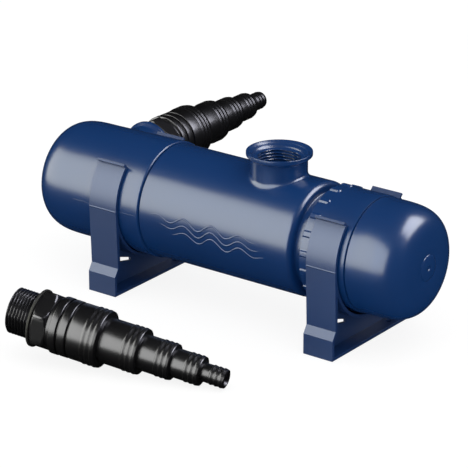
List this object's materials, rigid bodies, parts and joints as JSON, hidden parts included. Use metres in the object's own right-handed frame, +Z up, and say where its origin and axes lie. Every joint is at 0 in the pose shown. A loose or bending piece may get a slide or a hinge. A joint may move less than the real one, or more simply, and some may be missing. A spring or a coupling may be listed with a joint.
{
  "type": "uv clarifier",
  "caption": "In-line UV water clarifier: tube housing on clip feet, twist-off lamp head with sleeve and lamp, stepped hose adapters.",
  "frame": {"origin": "centre of the set's bounding box, on the floor under the bracket feet", "axes": "+X along the housing from the inlet cap to the lamp head, +Y along the rear hose adapter away from the housing, +Z up"},
  "size_m": [0.324, 0.3992, 0.1236],
  "materials": {
    "housing": "satin moulded navy blue",
    "clip": "satin moulded grey blue",
    "black_plastic": "satin",
    "adapter_plastic": "satin moulded black",
    "black_rubber": "matte",
    "quartz": "clear",
    "lamp_glass": "clear",
    "white_plastic": "satin",
    "steel": "plated"
  },
  "bodies": {
    "housing": {"main_tube": "housing", "inlet_end_cap": "housing", "sleeve_support": "black_plastic", "cap_seal_ring": "black_rubber"},
    "lamp_head": {"head_bulkhead": "black_plastic", "lamp_head_cover": "housing", "head_seal_ring": "black_rubber", "quartz_sleeve": "quartz", "uv_lamp": "lamp_glass", "lamp_base": "white_plastic", "lamp_socket": "white_plastic", "socket_screw_1": "steel", "socket_screw_2": "steel", "ballast_tray": "steel", "ballast": "black_plastic", "terminal_block": "white_plastic", "cable_gland_body": "black_plastic", "cable_gland_nut": "black_plastic", "cable_gland_seal": "black_rubber", "sleeve_seal_ring": "black_rubber", "sleeve_nut": "black_plastic"},
    "collar": {"locking_collar": "housing"},
    "left_clip": {"left_bracket": "clip"},
    "right_clip": {"right_bracket": "clip"},
    "rear_gasket": {"rear_adapter_gasket": "black_rubber"},
    "rear_adapter": {"rear_hose_adapter": "adapter_plastic"},
    "loose_adapter": {"loose_hose_adapter": "adapter_plastic", "loose_adapter_gasket": "black_rubber"}
  },
  "joints": [
    {"name": "lamp_head_withdraw", "type": "slide", "parent": "housing", "child": "lamp_head", "axis": [1, 0, 0], "range_m": [0, 0.24]},
    {"name": "collar_turn", "type": "hinge", "parent": "lamp_head", "child": "collar", "pos_m": [0.09745, -0.01936, 0.0653], "axis": [1, 0, 0], "range_deg": [0, 540]},
    {"name": "left_clip_slide", "type": "slide", "parent": "housing", "child": "left_clip", "axis": [1, 0, 0], "range_m": [-0.016, 0.011]},
    {"name": "right_clip_slide", "type": "slide", "parent": "housing", "child": "right_clip", "axis": [1, 0, 0], "range_m": [-0.04, 0.0025]},
    {"name": "rear_adapter_travel", "type": "slide", "parent": "housing", "child": "rear_gasket", "axis": [0, 1, 0], "range_m": [0, 0.0115]},
    {"name": "rear_adapter_unscrew", "type": "hinge", "parent": "rear_gasket", "child": "rear_adapter", "pos_m": [-0.14055, 0.06064, 0.0653], "axis": [0, 1, 0], "range_deg": [0, 1800]},
    {"name": "loose_adapter_lift", "type": "slide", "parent": "housing", "child": "loose_adapter", "axis": [0, 0, 1], "range_m": [0, 0.1]}
  ],
  "couplings": [
    {"joint": "rear_adapter_unscrew", "follows": "rear_adapter_travel", "rad_per_m": 2721.2}
  ]
}
